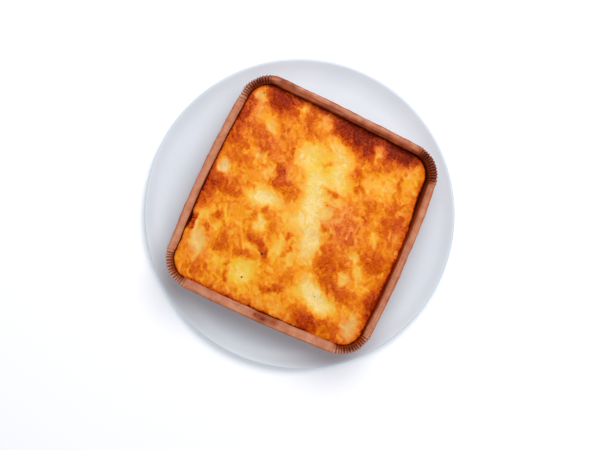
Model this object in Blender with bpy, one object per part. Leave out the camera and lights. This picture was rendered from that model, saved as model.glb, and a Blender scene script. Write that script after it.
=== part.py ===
# A square lasagne in its own paper baking tray, standing on a round white plate.
# Metres, +Z up. The origin is the middle of the plate's foot. +X and +Y run along the tray's sides.

import math

import bmesh
import bpy
import numpy as np

MM = 0.001
GAP = 0.3 * MM

# The plate: a flat well, a slow rise and a short lip
PLATE_RADIUS = 120 * MM
WELL_TOP = 7 * MM
WELL_THICKNESS = 4.2 * MM
LIP_THICKNESS = 2.8 * MM
LIP_TAPER = 20 * MM
RISE_RADIUS = 60 * MM
RISE_ANGLE = math.radians(12)
TURN_RADIUS = 30 * MM
LIP_ANGLE = math.radians(24)
LIP_LENGTH = 3.5 * MM
FOOT_RADIUS = 64 * MM
FOOT_WIDTH = 5 * MM
PLATE_STEPS = 64

# The tray: its four corners are arcs about these points, which the baking has pulled out of square
TRAY_MIDDLE = np.array((3.0, -1.5)) * MM
CORNER_CENTRES = np.array(((55.6, 60.9), (-58.3, 62.5), (-57.8, -62.6), (60.0, -59.3))) * MM
RIM_CORNER_RADIUS = 24 * MM
SIDE_BOWS = np.array((0.6, 2.2, 1.2, 2.3)) * MM
TRAY_HEIGHT = 40 * MM
PAPER = 0.9 * MM
RIM_WIDTH = 5.4 * MM
RIM_DEPTH = 4.4 * MM
WALL_FLARE = 3.8 * MM
BASE_FILLET = 2.6 * MM
PLEATS = 16
PLEAT_DEPTH = 0.75 * MM
SIDE_SEGMENTS = 6

TRAY_BOTTOM = WELL_TOP + GAP
RIM_TOP = TRAY_BOTTOM + TRAY_HEIGHT
RIM_MIDDLE = RIM_TOP - RIM_DEPTH / 2
WALL_FOOT = TRAY_BOTTOM + PAPER + BASE_FILLET

# The lasagne: its cheese lies this far under the rim, and higher at the left and near sides
CHEESE_DEPTH = 7.0 * MM
CHEESE_CROWN = 1.0 * MM
CHEESE_SLOPE = (-1.2 * MM, -1.3 * MM)
CHEESE_HALF = 78 * MM
HEADROOM = 4.4 * MM
HEADROOM_EASE = 1.2 * MM
EDGE_DROP = 1.2 * MM
EDGE_DROP_CHANGE = 0.6 * MM
EDGE_LOWEST = 3.2 * MM
SHRINK_DEPTH = 12 * MM
CHEESE_CELLS = 40

# Places where the cheese has shrunk from the tray's wall: x, y, reach and how far, in millimetres
SHRUNK_EDGES = (
    (77, 52, 20, 2.9),
    (66, 70, 12, 0.8),
    (-76, -38, 6, 3.2),
    (-76, -56, 10, 0.8),
    (8, -79, 42, 1.6),
)

# Browned blisters that stand up: x, y, half length and half width, turn in degrees and height
BLISTERS = (
    (-51, 68, 13, 7, 0, 1.3),
    (9, 70, 17, 6, 0, 1.6),
    (45, 70, 12, 6, 0, 1.4),
    (-50, 40, 13, 7, -20, 1.5),
    (-66, 32, 7, 8, 0, 1.2),
    (-22, 15, 14, 6, 0, 1.8),
    (-64, -6, 12, 9, 0, 1.6),
    (31, 5, 13, 15, 0, 2.0),
    (28, -22, 9, 10, 30, 1.8),
    (42, -22, 9, 8, 0, 1.4),
    (61, -6, 9, 11, 20, 1.7),
    (37, -40, 9, 9, 0, 1.5),
    (68, -38, 6, 11, 0, 1.2),
    (-45, -41, 6, 10, 0, 1.4),
    (-20, -33, 10, 4, 10, 1.2),
    (-60, -66, 9, 5, 0, 1.0),
    (-2, -57, 12, 4, 25, 1.2),
    (32, -67, 10, 6, 0, 1.6),
    (51, -64, 9, 7, 0, 1.4),
    (36, 55, 6, 9, 30, 1.2),
    (20, 62, 7, 6, 0, 1.2),
)

# Pale places where the sauce has pooled and sunk, laid out in the same way
POOLS = (
    (-12, 40, 11, 16, 10, -1.4),
    (10, 34, 10, 8, 0, -1.0),
    (4, 12, 9, 11, 0, -1.2),
    (14, -15, 8, 14, 15, -1.4),
    (-33, 2, 11, 5, 15, -1.0),
    (33, -52, 13, 6, -15, -1.3),
    (-22, -57, 10, 8, 0, -1.3),
    (-65, -50, 6, 11, 0, -0.8),
    (44, 46, 9, 8, 0, -1.2),
)

# Small lumps and dimples between them, with their reach and height in millimetres
LUMP_COUNT = 150
LUMP_REACH = (3.5, 6.5)
LUMP_HEIGHT = (-0.7, 0.8)
LUMP_SEED = 11


def material(name, colour, roughness, metallic=0.0):
    made = bpy.data.materials.new(name)
    made.use_nodes = True
    shader = made.node_tree.nodes["Principled BSDF"]
    shader.inputs["Base Color"].default_value = (*colour, 1.0)
    shader.inputs["Roughness"].default_value = roughness
    shader.inputs["Metallic"].default_value = metallic
    return made


def add_object(name, bm, finish):
    """Closes the bmesh into an object of that name, with its faces turned outwards."""
    bmesh.ops.remove_doubles(bm, verts=bm.verts, dist=1e-6)
    bmesh.ops.recalc_face_normals(bm, faces=bm.faces)
    mesh = bpy.data.meshes.new(name)
    bm.to_mesh(mesh)
    bm.free()
    mesh.shade_smooth()
    mesh.set_sharp_from_angle(angle=math.radians(40))
    mesh.materials.append(finish)
    made = bpy.data.objects.new(name, mesh)
    bpy.context.scene.collection.objects.link(made)
    return made


def ring_faces(bm, lower, upper):
    """Joins two rings of as many vertices with quads."""
    count = len(lower)
    for i in range(count):
        j = (i + 1) % count
        bm.faces.new((lower[i], lower[j], upper[j], upper[i]))


def add_ring(bm, points, height):
    return [bm.verts.new((x, y, height)) for x, y in points]


def plate_middle_line():
    """Radius, height and slope along the middle of the plate's wall, from its centre out."""
    rise = RISE_RADIUS * math.sin(RISE_ANGLE)
    turn = TURN_RADIUS * (math.sin(LIP_ANGLE) - math.sin(RISE_ANGLE))
    lip = LIP_LENGTH * math.cos(LIP_ANGLE) + LIP_THICKNESS / 2
    well_radius = PLATE_RADIUS - rise - turn - lip
    height = WELL_TOP - WELL_THICKNESS / 2
    line = [(0.0, height, 0.0), (well_radius * 0.5, height, 0.0), (well_radius, height, 0.0)]
    for bend, first, last in ((RISE_RADIUS, 0.0, RISE_ANGLE), (TURN_RADIUS, RISE_ANGLE, LIP_ANGLE)):
        radius, height, _ = line[-1]
        for slope in np.linspace(first, last, 4)[1:]:
            out = bend * (math.sin(slope) - math.sin(first))
            up = bend * (math.cos(first) - math.cos(slope))
            line.append((radius + out, height + up, slope))
    radius, height, slope = line[-1]
    line.append((radius + LIP_LENGTH * math.cos(slope), height + LIP_LENGTH * math.sin(slope), slope))
    return line


def plate_profile():
    """The plate's section: its upper side, its round edge, and its underside with the foot."""
    line = plate_middle_line()
    edge_radius, edge_height, edge_slope = line[-1]

    def side(radius, height, slope, sign):
        share = max(0.0, 1 - (edge_radius - radius) / LIP_TAPER)
        half = (WELL_THICKNESS + (LIP_THICKNESS - WELL_THICKNESS) * share) / 2
        return radius - sign * half * math.sin(slope), height + sign * half * math.cos(slope)

    upper = [side(*station, 1) for station in line]
    edge = []
    for turn in (math.radians(45), 0.0, -edge_slope, math.radians(-65)):
        across = LIP_THICKNESS / 2 * math.cos(edge_slope + turn)
        along = LIP_THICKNESS / 2 * math.sin(edge_slope + turn)
        edge.append((edge_radius + across, edge_height + along))
    lower = [side(*station, -1) for station in line[2:]]
    under = WELL_TOP - WELL_THICKNESS
    foot = [
        (FOOT_RADIUS + FOOT_WIDTH, under),
        (FOOT_RADIUS + FOOT_WIDTH / 2, 0.0),
        (FOOT_RADIUS - FOOT_WIDTH / 2, 0.0),
        (FOOT_RADIUS - FOOT_WIDTH, under),
        (0.0, under),
    ]
    return upper + edge + lower[::-1] + foot


def make_plate():
    """The section, spun about the middle."""
    bm = bmesh.new()
    points = [bm.verts.new((radius, 0.0, height)) for radius, height in plate_profile()]
    edges = [bm.edges.new(pair) for pair in zip(points, points[1:])]
    bmesh.ops.spin(
        bm,
        geom=points + edges,
        cent=(0, 0, 0),
        axis=(0, 0, 1),
        angle=2 * math.pi,
        steps=PLATE_STEPS,
        use_merge=True,
    )
    return add_object("plate", bm, material("white_porcelain", (0.80, 0.82, 0.85), 0.15))


def outline(offset, bow_share, folds, arc_steps, side_steps):
    """Points round the tray, anticlockwise from the right side's far end, inside the rim's outer line.
    A corner is an arc about its own centre, stepping in and out by the folds, and a side bows outwards."""
    radius = RIM_CORNER_RADIUS - offset
    ahead = np.roll(CORNER_CENTRES, -1, axis=0) - CORNER_CENTRES
    normals = np.arctan2(-ahead[:, 0], ahead[:, 1])
    points = []
    for i in range(4):
        start = normals[i - 1]
        turn = (normals[i] - start) % (2 * math.pi)
        for k in range(arc_steps + 1):
            angle = start + turn * k / arc_steps
            fold = folds[k % 2] if 0 < k < arc_steps else 0.0
            direction = np.array((math.cos(angle), math.sin(angle)))
            points.append(CORNER_CENTRES[i] + (radius + fold) * direction)
        outwards = np.array((math.cos(normals[i]), math.sin(normals[i])))
        for k in range(1, side_steps):
            along = k / side_steps
            bow = SIDE_BOWS[i] * bow_share * 4 * along * (1 - along)
            points.append(CORNER_CENTRES[i] + ahead[i] * along + outwards * (radius + bow))
    return np.array(points) + TRAY_MIDDLE


def wall_offset(height):
    """How far inside the rim's outer line the wall's inner face is at that height."""
    share = (RIM_MIDDLE - height) / (RIM_MIDDLE - WALL_FOOT)
    return RIM_WIDTH + WALL_FLARE * min(max(share, 0.0), 1.0)


def wall_share(height):
    """How much of the rim's bow and pleats the wall has at that height: none at its foot."""
    return min(max((height - WALL_FOOT) / (RIM_MIDDLE - WALL_FOOT), 0.0), 1.0)


def tray_profile():
    """The tray's section as offset and height: up the outside, over the rolled rim and down the inside."""
    foot = wall_offset(WALL_FOOT)
    middle = (WALL_FOOT + RIM_MIDDLE) / 2
    inner_floor = TRAY_BOTTOM + PAPER
    outside = [
        (foot + BASE_FILLET, TRAY_BOTTOM),
        (foot - PAPER + BASE_FILLET * 0.3, TRAY_BOTTOM + (BASE_FILLET + PAPER) * 0.3),
        (foot - PAPER, WALL_FOOT),
        (wall_offset(middle) - PAPER, middle),
    ]
    rim = []
    for turn in np.radians((-125, -80, -40, 0, 45, 90, 135)):
        rim.append(
            (
                RIM_WIDTH / 2 * (1 - math.cos(turn)),
                RIM_MIDDLE + RIM_DEPTH / 2 * math.sin(turn),
            )
        )
    inside = [
        (wall_offset(RIM_MIDDLE), RIM_MIDDLE),
        (wall_offset(middle), middle),
        (foot, WALL_FOOT),
        (foot + BASE_FILLET * 0.3, inner_floor + BASE_FILLET * 0.3),
        (foot + BASE_FILLET, inner_floor),
    ]
    return outside + rim + inside


def make_tray():
    """Rings of the outline at each point of the section, closed by the two faces of the base."""
    bm = bmesh.new()
    rings = []
    for offset, height in tray_profile():
        share = wall_share(height)
        fold = PLEAT_DEPTH / 2 * share
        points = outline(offset, share, (-fold, fold), 2 * PLEATS, SIDE_SEGMENTS)
        rings.append(add_ring(bm, points, height))
    for lower, upper in zip(rings, rings[1:]):
        ring_faces(bm, lower, upper)
    bm.faces.new(rings[0][::-1])
    bm.faces.new(rings[-1])
    return add_object("baking_tray", bm, material("brown_baking_paper", (0.47, 0.22, 0.12), 0.7))


def bump(x, y, form):
    """A smooth hump: its height times the bell curve of the distance, in the form's own turned axes."""
    cx, cy, half_length, half_width, turn, height = form
    angle = math.radians(turn)
    dx, dy = x / MM - cx, y / MM - cy
    along = (dx * math.cos(angle) + dy * math.sin(angle)) / half_length
    across = (-dx * math.sin(angle) + dy * math.cos(angle)) / half_width
    return height * MM * math.exp(-1.2 * (along * along + across * across))


def small_lumps():
    """Small lumps and dimples of the cheese, scattered evenly over the top."""
    rng = np.random.default_rng(LUMP_SEED)
    lumps = []
    for _ in range(LUMP_COUNT):
        x, y = rng.uniform(-74, 74, 2)
        reach = rng.uniform(*LUMP_REACH)
        width = reach * rng.uniform(0.5, 1)
        lumps.append((x, y, reach, width, rng.uniform(0, 180), rng.uniform(*LUMP_HEIGHT)))
    return lumps


def cheese_height(x, y, forms):
    """The cheese's height at a point given from the tray's middle, eased to stay under the headroom."""
    u, v = x / CHEESE_HALF, y / CHEESE_HALF
    crown = CHEESE_CROWN * (1 - u * u) * (1 - v * v)
    slope = CHEESE_SLOPE[0] * u + CHEESE_SLOPE[1] * v
    relief = sum(bump(x, y, form) for form in forms)
    room = CHEESE_DEPTH - HEADROOM - crown - slope - relief
    return RIM_TOP - HEADROOM - (room + math.hypot(room, HEADROOM_EASE)) / 2


def shrunk(points):
    """How far the cheese's edge has drawn in from the wall at each point."""
    local = (points - TRAY_MIDDLE) / MM
    drawn = np.zeros(len(points))
    for x, y, reach, depth in SHRUNK_EDGES:
        distance = np.hypot(local[:, 0] - x, local[:, 1] - y) / reach
        drawn += depth * MM * np.exp(-distance * distance)
    return drawn


def food_outline(height, inset, shrinks):
    """The filling's outline at that height, in equal steps from one corner's middle to the next."""
    arc_steps, side_steps = 16, 40
    fold = -PLEAT_DEPTH / 2 * wall_share(height)
    inside = wall_offset(height) + GAP + inset
    points = outline(inside, wall_share(height), (fold, fold), arc_steps, side_steps)
    if shrinks:
        towards = TRAY_MIDDLE - points
        towards /= np.linalg.norm(towards, axis=1)[:, None]
        points = points + towards * shrunk(points)[:, None]
    quarter = len(points) // 4
    turned = np.roll(points, -(arc_steps // 2), axis=0)
    closed = np.vstack((turned, turned[:1]))
    steps = np.linalg.norm(np.diff(closed, axis=0), axis=1)
    lengths = np.concatenate(([0.0], np.cumsum(steps)))
    stops = []
    for side in range(4):
        start, end = lengths[side * quarter], lengths[(side + 1) * quarter]
        stops.extend(start + (end - start) * k / CHEESE_CELLS for k in range(CHEESE_CELLS))
    return np.column_stack([np.interp(stops, lengths, closed[:, axis]) for axis in (0, 1)])


def grid_ring():
    """The grid's outer vertices as column and row, anticlockwise from its upper right corner."""
    last = CHEESE_CELLS
    top = [(last - k, last) for k in range(last)]
    left = [(0, last - k) for k in range(last)]
    bottom = [(k, 0) for k in range(last)]
    right = [(last, k) for k in range(last)]
    return top + left + bottom + right


def edge_point(edge, u, v):
    """The point of the outline that the ray through u, v of the square meets."""
    reach = max(abs(u), abs(v))
    u, v = u / reach, v / reach
    if v >= abs(u):
        side = (1 - u) / 2
    elif u <= -abs(v):
        side = 1 + (1 - v) / 2
    elif v <= -abs(u):
        side = 2 + (1 + u) / 2
    else:
        side = 3 + (1 + v) / 2
    place = side * CHEESE_CELLS % len(edge)
    low = int(place)
    share = place - low
    return edge[low] * (1 - share) + edge[(low + 1) % len(edge)] * share


def place_on_cheese(u, v, edge, forms):
    """Where a vertex of the square grid lies on the cheese: near its sides the grid follows the outline."""
    reach = max(abs(u), abs(v))
    plain = np.array((u, v)) * CHEESE_HALF + TRAY_MIDDLE
    if reach > 0:
        followed = TRAY_MIDDLE + (edge_point(edge, u, v) - TRAY_MIDDLE) * reach
        plain = plain + (followed - plain) * reach**3
    height = cheese_height(*(plain - TRAY_MIDDLE), forms)
    if reach > 1 - 1 / CHEESE_CELLS:
        height -= EDGE_DROP + EDGE_DROP_CHANGE * (u + v)
    return (*plain, height)


def make_lasagne():
    """A grid for the cheese's top, whose edge is carried down the tray's wall and closed below."""
    forms = BLISTERS + POOLS + tuple(small_lumps())
    level = RIM_TOP - CHEESE_DEPTH
    edge = food_outline(level - EDGE_LOWEST, 0.0, True)
    bm = bmesh.new()
    bmesh.ops.create_grid(bm, x_segments=CHEESE_CELLS, y_segments=CHEESE_CELLS, size=1.0)
    places = {}
    for vertex in bm.verts:
        u, v = vertex.co.x, vertex.co.y
        places[round((u + 1) * CHEESE_CELLS / 2), round((v + 1) * CHEESE_CELLS / 2)] = vertex
        vertex.co = place_on_cheese(u, v, edge, forms)
    upper = [places[place] for place in grid_ring()]
    bottom = TRAY_BOTTOM + PAPER + GAP
    foot_rise = BASE_FILLET + GAP
    for height, inset in ((level - SHRINK_DEPTH, 0.0), (bottom + foot_rise, 0.0), (bottom, foot_rise)):
        points = food_outline(height, inset, False)
        lower = add_ring(bm, points, height)
        ring_faces(bm, lower, upper)
        upper = lower
    bm.faces.new(upper[::-1])
    return add_object("lasagne", bm, material("baked_cheese", (0.86, 0.42, 0.08), 0.4))


def main():
    for old in list(bpy.data.objects):
        bpy.data.objects.remove(old, do_unlink=True)
    make_plate()
    make_tray()
    make_lasagne()


main()
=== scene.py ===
import math

import bpy
import numpy as np
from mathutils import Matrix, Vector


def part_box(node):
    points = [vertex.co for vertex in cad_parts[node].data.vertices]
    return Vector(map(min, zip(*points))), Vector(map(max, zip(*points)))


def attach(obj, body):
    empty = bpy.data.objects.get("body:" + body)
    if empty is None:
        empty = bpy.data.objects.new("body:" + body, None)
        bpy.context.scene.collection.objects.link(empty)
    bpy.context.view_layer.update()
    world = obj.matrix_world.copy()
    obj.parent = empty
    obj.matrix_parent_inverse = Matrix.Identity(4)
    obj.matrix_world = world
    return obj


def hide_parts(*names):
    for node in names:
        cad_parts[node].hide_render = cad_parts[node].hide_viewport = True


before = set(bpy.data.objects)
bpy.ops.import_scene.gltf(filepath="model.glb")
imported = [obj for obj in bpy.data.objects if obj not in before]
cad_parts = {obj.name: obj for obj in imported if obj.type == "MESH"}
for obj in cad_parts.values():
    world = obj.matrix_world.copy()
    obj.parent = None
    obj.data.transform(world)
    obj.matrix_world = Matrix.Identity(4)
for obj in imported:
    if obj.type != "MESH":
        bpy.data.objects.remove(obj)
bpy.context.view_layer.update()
mm = 0.001


# Noise and grids

def gradientNoise(x, y, cell, seed):
    # Every lattice corner has a random direction; its slope towards the point is blended with the other
    # three by a smooth step. Runs from about -0.7 to 0.7.
    repeat = 127  # lattice corners before the pattern comes again
    angles = np.random.default_rng(seed).uniform(0, 2 * np.pi, (repeat, repeat))
    u, v = x / cell, y / cell
    i, j = np.floor(u).astype(int), np.floor(v).astype(int)
    u, v = u - i, v - j
    easeU, easeV = u**3 * (u * (u * 6 - 15) + 10), v**3 * (v * (v * 6 - 15) + 10)

    def slope(a, b):
        angle = angles[(i + a) % repeat, (j + b) % repeat]
        return np.cos(angle) * (u - a) + np.sin(angle) * (v - b)

    low = slope(0, 0) * (1 - easeU) + slope(1, 0) * easeU
    high = slope(0, 1) * (1 - easeU) + slope(1, 1) * easeU
    return low * (1 - easeV) + high * easeV


def roughNoise(x, y, cell, seed, octaves=3):
    # Gradient noise with finer copies of itself, each half as wide and half as strong
    return sum(gradientNoise(x, y, cell / 2**k, seed + k) / 2**k for k in range(octaves))


def smoothStep(value, low, high):
    # 0 below low and 1 above high, with a soft S between
    share = np.clip((value - low) / (high - low), 0, 1)
    return share * share * (3 - 2 * share)


def soften(field, passes):
    # Each pass makes every cell 0.4 of itself and 0.15 of each of its four neighbours
    for _ in range(passes):
        padded = np.pad(field, 1, mode="edge")
        sides = padded[:-2, 1:-1] + padded[2:, 1:-1] + padded[1:-1, :-2] + padded[1:-1, 2:]
        field = field * 0.4 + sides * 0.15
    return field


def gridQuads(rows, columns, wraps):
    # Vertex numbers of the quads of a grid stored row by row; wrapping joins its last column to its first
    index = np.arange(rows * columns).reshape(rows, columns)
    if wraps:
        index = np.column_stack((index, index[:, :1]))
    a, b = index[:-1, :-1], index[:-1, 1:]
    c, d = index[1:, 1:], index[1:, :-1]
    return np.stack((a, b, c, d), axis=-1).reshape(-1, 4)


def fanTriangles(ring, centre):
    # Triangles from a closed ring of vertex numbers to one centre vertex
    return np.column_stack((ring, np.roll(ring, -1), np.full(len(ring), centre)))


def closedGrid(rows, columns):
    # The quads of a grid that wraps, and the triangles that close its first and last row with the two poles
    # stored after it. They face outwards where the rows run from the bottom up, else inwards.
    first, count = np.arange(columns), rows * columns
    caps = fanTriangles(first[::-1], count), fanTriangles(first + count - columns, count + 1)
    return gridQuads(rows, columns, True), np.concatenate(caps)


# Putting a piece into the scene

def putInScene(name, data):
    # An object at the origin, unturned and unscaled
    holder = bpy.data.objects.new(name, data)
    bpy.context.scene.collection.objects.link(holder)
    return holder


def addPiece(name, points, quads, triangles, material, attributes):
    # Quads and triangles are rows of vertex numbers; an attribute has a value for every vertex
    mesh = bpy.data.meshes.new(name)
    corners = np.concatenate((quads.ravel(), triangles.ravel())).astype(np.int32)
    sizes = np.concatenate((np.full(len(quads), 4), np.full(len(triangles), 3)))
    mesh.vertices.add(len(points))
    mesh.vertices.foreach_set("co", np.asarray(points, np.float32).ravel())
    mesh.loops.add(len(corners))
    mesh.loops.foreach_set("vertex_index", corners)
    mesh.polygons.add(len(sizes))
    mesh.polygons.foreach_set("loop_start", np.concatenate(([0], np.cumsum(sizes)[:-1])).astype(np.int32))
    mesh.update(calc_edges=True)
    mesh.validate()
    for key, values in attributes.items():
        layer = mesh.attributes.new(key, "FLOAT", "POINT")
        layer.data.foreach_set("value", np.asarray(values, np.float32).ravel())
    mesh.shade_smooth()
    mesh.materials.append(material)
    piece = putInScene(name, mesh)
    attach(piece, "root")
    print(f"{name}: {2 * len(quads) + len(triangles)} triangles")
    return piece


def toLinear(hexColour):
    # sRGB hex to linear light, by the standard curve
    channels = [int(hexColour[k:k + 2], 16) / 255 for k in (1, 3, 5)]
    linear = [c / 12.92 if c <= 0.04045 else ((c + 0.055) / 1.055)**2.4 for c in channels]
    return (*linear, 1.0)


def startMaterial(name):
    # A new material, its node tree and its shader
    material = bpy.data.materials.new(name)
    material.use_nodes = True
    tree = material.node_tree
    return material, tree, tree.nodes["Principled BSDF"]


def setInputs(tree, node, inputs):
    # An input is a value, the socket that feeds it, or a node whose first output feeds it
    for name, value in inputs.items():
        if isinstance(value, bpy.types.Node):
            value = value.outputs[0]
        if isinstance(value, bpy.types.NodeSocket):
            tree.links.new(value, node.inputs[name])
        else:
            node.inputs[name].default_value = value


def addNode(tree, kind, inputs=None, **settings):
    # One node with its settings and links
    node = tree.nodes.new("ShaderNode" + kind)
    for name, value in settings.items():
        setattr(node, name, value)
    setInputs(tree, node, inputs or {})
    return node


def readSurface(tree, *attributes):
    # The sockets of the Object coordinates and of the piece's own attributes
    place = addNode(tree, "TexCoord").outputs["Object"]
    return place, *(addNode(tree, "Attribute", attribute_name=key).outputs["Fac"] for key in attributes)


def setStops(ramp, stops):
    # Colour stops as (position, hex)
    elements = ramp.color_ramp.elements
    while len(elements) < len(stops):
        elements.new(0.5)
    for element, (position, colour) in zip(elements, stops):
        element.position = position
        element.color = toLinear(colour)


# Camera and light: seen from almost straight above, with the tray turned in the frame

view = {
    "roll": 25.5,
    "tilt": (0.75, -1.1),
    "distance": 1040,
    "aimHeight": 16,
    "sensorWidth": 36,
    "frameWidth": 600,
    "plateInFrame": (300, 213.5),
    "frameMiddle": (300, 225),
    "mmPerPixel": 0.768,
}


def addCamera():
    # The lens makes mmPerPixel true at the plate's lip; the aim is moved so that the plate lands in its place
    camera = bpy.data.cameras.new("camera")
    camera.sensor_width = view["sensorWidth"]
    camera.lens = view["distance"] * view["sensorWidth"] / (view["frameWidth"] * view["mmPerPixel"])
    camera.clip_start = 0.05
    holder = putInScene("camera", camera)
    holder.rotation_euler = [math.radians(a) for a in (*view["tilt"], view["roll"])]
    bpy.context.view_layer.update()
    turn = holder.matrix_world.to_3x3()
    right, up, back = turn.col[0].copy(), turn.col[1].copy(), turn.col[2].copy()
    offX = (view["frameMiddle"][0] - view["plateInFrame"][0]) * view["mmPerPixel"] * mm
    offY = (view["plateInFrame"][1] - view["frameMiddle"][1]) * view["mmPerPixel"] * mm
    aim = right * offX + up * offY
    aim.z += view["aimHeight"] * mm
    holder.location = aim + back * view["distance"] * mm
    bpy.context.scene.camera = holder


lighting = {
    "towards": 90,
    "elevation": 68,
    "distance": 0.95,
    "size": 0.65,
    "power": 6.2,
    "keyColour": "#fcfcff",
    "sky": "#f1f5ff",
    "skyStrength": 0.5,
    "floorGlow": 0.14,
}


def addLights():
    # One soft key from beyond the tray's far side, and an even pale sky
    key = bpy.data.lights.new("key", "AREA")
    key.shape = "DISK"
    key.size = lighting["size"]
    key.energy = lighting["power"]
    key.color = toLinear(lighting["keyColour"])[:3]
    holder = putInScene("key", key)
    azimuth, rise = math.radians(lighting["towards"]), math.radians(lighting["elevation"])
    holder.location = [
        lighting["distance"] * math.cos(rise) * math.cos(azimuth),
        lighting["distance"] * math.cos(rise) * math.sin(azimuth),
        lighting["distance"] * math.sin(rise),
    ]
    holder.rotation_euler = (0, math.pi / 2 - rise, azimuth)
    world = bpy.data.worlds.new("sky")
    world.use_nodes = True
    background = world.node_tree.nodes["Background"]
    background.inputs["Color"].default_value = toLinear(lighting["sky"])
    background.inputs["Strength"].default_value = lighting["skyStrength"]
    bpy.context.scene.world = world
    bpy.context.scene.view_settings.view_transform = "Standard"


def addFloor():
    # A white sheet, so bright that it reads as the blank ground of a studio picture
    material, tree, shader = startMaterial("white_studio_paper")
    setInputs(tree, shader, {
        "Base Color": (0.97, 0.97, 0.97, 1), "Roughness": 0.9, "Specular IOR Level": 0.1,
        "Emission Color": (1, 1, 1, 1), "Emission Strength": lighting["floorGlow"],
    })
    reach = 3.0
    mesh = bpy.data.meshes.new("floor")
    corners = [(-reach, -reach, 0), (reach, -reach, 0), (reach, reach, 0), (-reach, reach, 0)]
    mesh.from_pydata(corners, [], [(0, 1, 2, 3)])
    mesh.materials.append(material)
    putInScene("floor", mesh)


# The plate

plate = {
    "wellTop": 7.0,
    "wellThickness": 4.2,
    "lipThickness": 2.8,
    "lipTaper": 20.0,
    "riseRadius": 60.0,
    "riseAngle": 12.0,
    "turnRadius": 30.0,
    "lipAngle": 24.0,
    "lipLength": 3.5,
    "footRadius": 64.0,
    "footWidth": 5.0,
    "footSlope": 2.5,
    "footFineReach": 11.0,
    "segments": 288,
}


def glazedPorcelain():
    # Porcelain under a clear fired glaze: cool white with a soft sheen and the faintest unevenness. The foot
    # ring, on which it stood in the kiln, is bare and dull.
    material, tree, shader = startMaterial("glazed_porcelain")
    place, bare = readSurface(tree, "unglazed")
    cloud = addNode(tree, "TexNoise", {"Vector": place, "Scale": 1 / 0.045, "Detail": 2.0})
    tint = addNode(tree, "ValToRGB", {"Fac": cloud})
    setStops(tint, [(0.3, "#d7e0e6"), (0.7, "#dde5ea")])
    colour = addNode(tree, "MixRGB", {"Fac": bare, "Color1": tint, "Color2": toLinear("#d9d3c6")})
    smear = addNode(tree, "TexNoise", {"Vector": place, "Scale": 1 / 0.012, "Detail": 4.0})
    gloss = addNode(tree, "MapRange", {
        "Value": smear, "From Min": 0.3, "From Max": 0.7, "To Min": 0.3, "To Max": 0.38,
    })
    rough = addNode(tree, "Mix", {"Factor": bare, "A": gloss, "B": 0.75})
    wave = addNode(tree, "TexNoise", {"Vector": place, "Scale": 1 / 0.03, "Detail": 1.0})
    bump = addNode(tree, "Bump", {"Height": wave, "Strength": 0.25, "Distance": 0.0004})
    setInputs(tree, shader, {
        "Base Color": colour, "Roughness": rough, "Normal": bump, "Specular IOR Level": 0.35,
    })
    return material


def plateSection(radius):
    # The middle line is flat, then two arcs and a straight lip; each face lies half the thickness off it.
    # The foot is a smooth step down in the flat underside.
    rise, lip = math.radians(plate["riseAngle"]), math.radians(plate["lipAngle"])
    bends = [(plate["riseRadius"], 0, rise), (plate["turnRadius"], rise, lip)]
    run = sum(bend * (math.sin(last) - math.sin(first)) for bend, first, last in bends)
    run += plate["lipLength"] * math.cos(lip) + plate["lipThickness"] / 2
    r, z = radius - run, plate["wellTop"] - plate["wellThickness"] / 2
    well = np.linspace(0, r, 40)[1:]
    parts = [np.array((well, np.full_like(well, z), np.zeros_like(well)))]
    for bend, first, last in bends:
        slope = np.linspace(first, last, 13)[1:]
        out = r + bend * (np.sin(slope) - math.sin(first))
        up = z + bend * (math.cos(first) - np.cos(slope))
        parts.append(np.array((out, up, slope)))
        r, z = out[-1], up[-1]
    along = np.linspace(0, plate["lipLength"], 5)[1:]
    parts.append(np.array((r + along * math.cos(lip), z + along * math.sin(lip), np.full_like(along, lip))))
    r, z, slope = np.concatenate(parts, axis=1)
    taper = np.clip(1 - (r[-1] - r) / plate["lipTaper"], 0, 1)
    half = (plate["wellThickness"] + (plate["lipThickness"] - plate["wellThickness"]) * taper) / 2
    upper = np.array((r - half * np.sin(slope), z + half * np.cos(slope)))
    lower = np.array((r + half * np.sin(slope), z - half * np.cos(slope)))[:, ::-1]
    turn = lip + np.linspace(math.pi / 2, -math.pi / 2, 15)[1:-1]
    edge = np.array((r[-1] + half[-1] * np.cos(turn), z[-1] + half[-1] * np.sin(turn)))
    # rows lie close together near the foot and further apart inside it
    outer, inner = plate["footRadius"] + plate["footFineReach"], plate["footRadius"] - plate["footFineReach"]
    flat = lower[:, lower[0] > outer + 1]
    under = np.concatenate((np.linspace(outer, inner, 80), np.linspace(inner - 1, 1, 20)))
    off = np.abs(under - plate["footRadius"]) - plate["footWidth"] / 2
    down = 1 - smoothStep(off, 0, plate["footSlope"])
    level = (plate["wellTop"] - plate["wellThickness"]) * (1 - down)
    section = np.concatenate((upper, edge, flat, np.array((under, level))), axis=1)
    bare = np.concatenate((np.zeros(section.shape[1] - len(under)), smoothStep(-off, -0.2, 0.3)))
    return section, bare


def makePlate():
    # The section carried round the middle
    low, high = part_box("plate")
    section, bare = plateSection((high.x - low.x) / 2 / mm)
    columns = plate["segments"]
    turn = np.linspace(0, 2 * np.pi, columns, endpoint=False)
    radius, height = section[0][:, None], section[1][:, None]
    rings = np.stack((radius * np.cos(turn), radius * np.sin(turn), height + 0 * turn), axis=-1)
    poles = np.array(((0, 0, plate["wellTop"]), (0, 0, section[1][-1])))
    quads, caps = closedGrid(section.shape[1], columns)
    piece = addPiece(
        "plate_glazed", np.concatenate((rings.reshape(-1, 3), poles)) * mm, quads[:, ::-1], caps[:, ::-1],
        glazedPorcelain(), {"unglazed": np.append(np.repeat(bare, columns), (0, 0))},
    )
    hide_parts("plate")


# The tray

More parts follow.
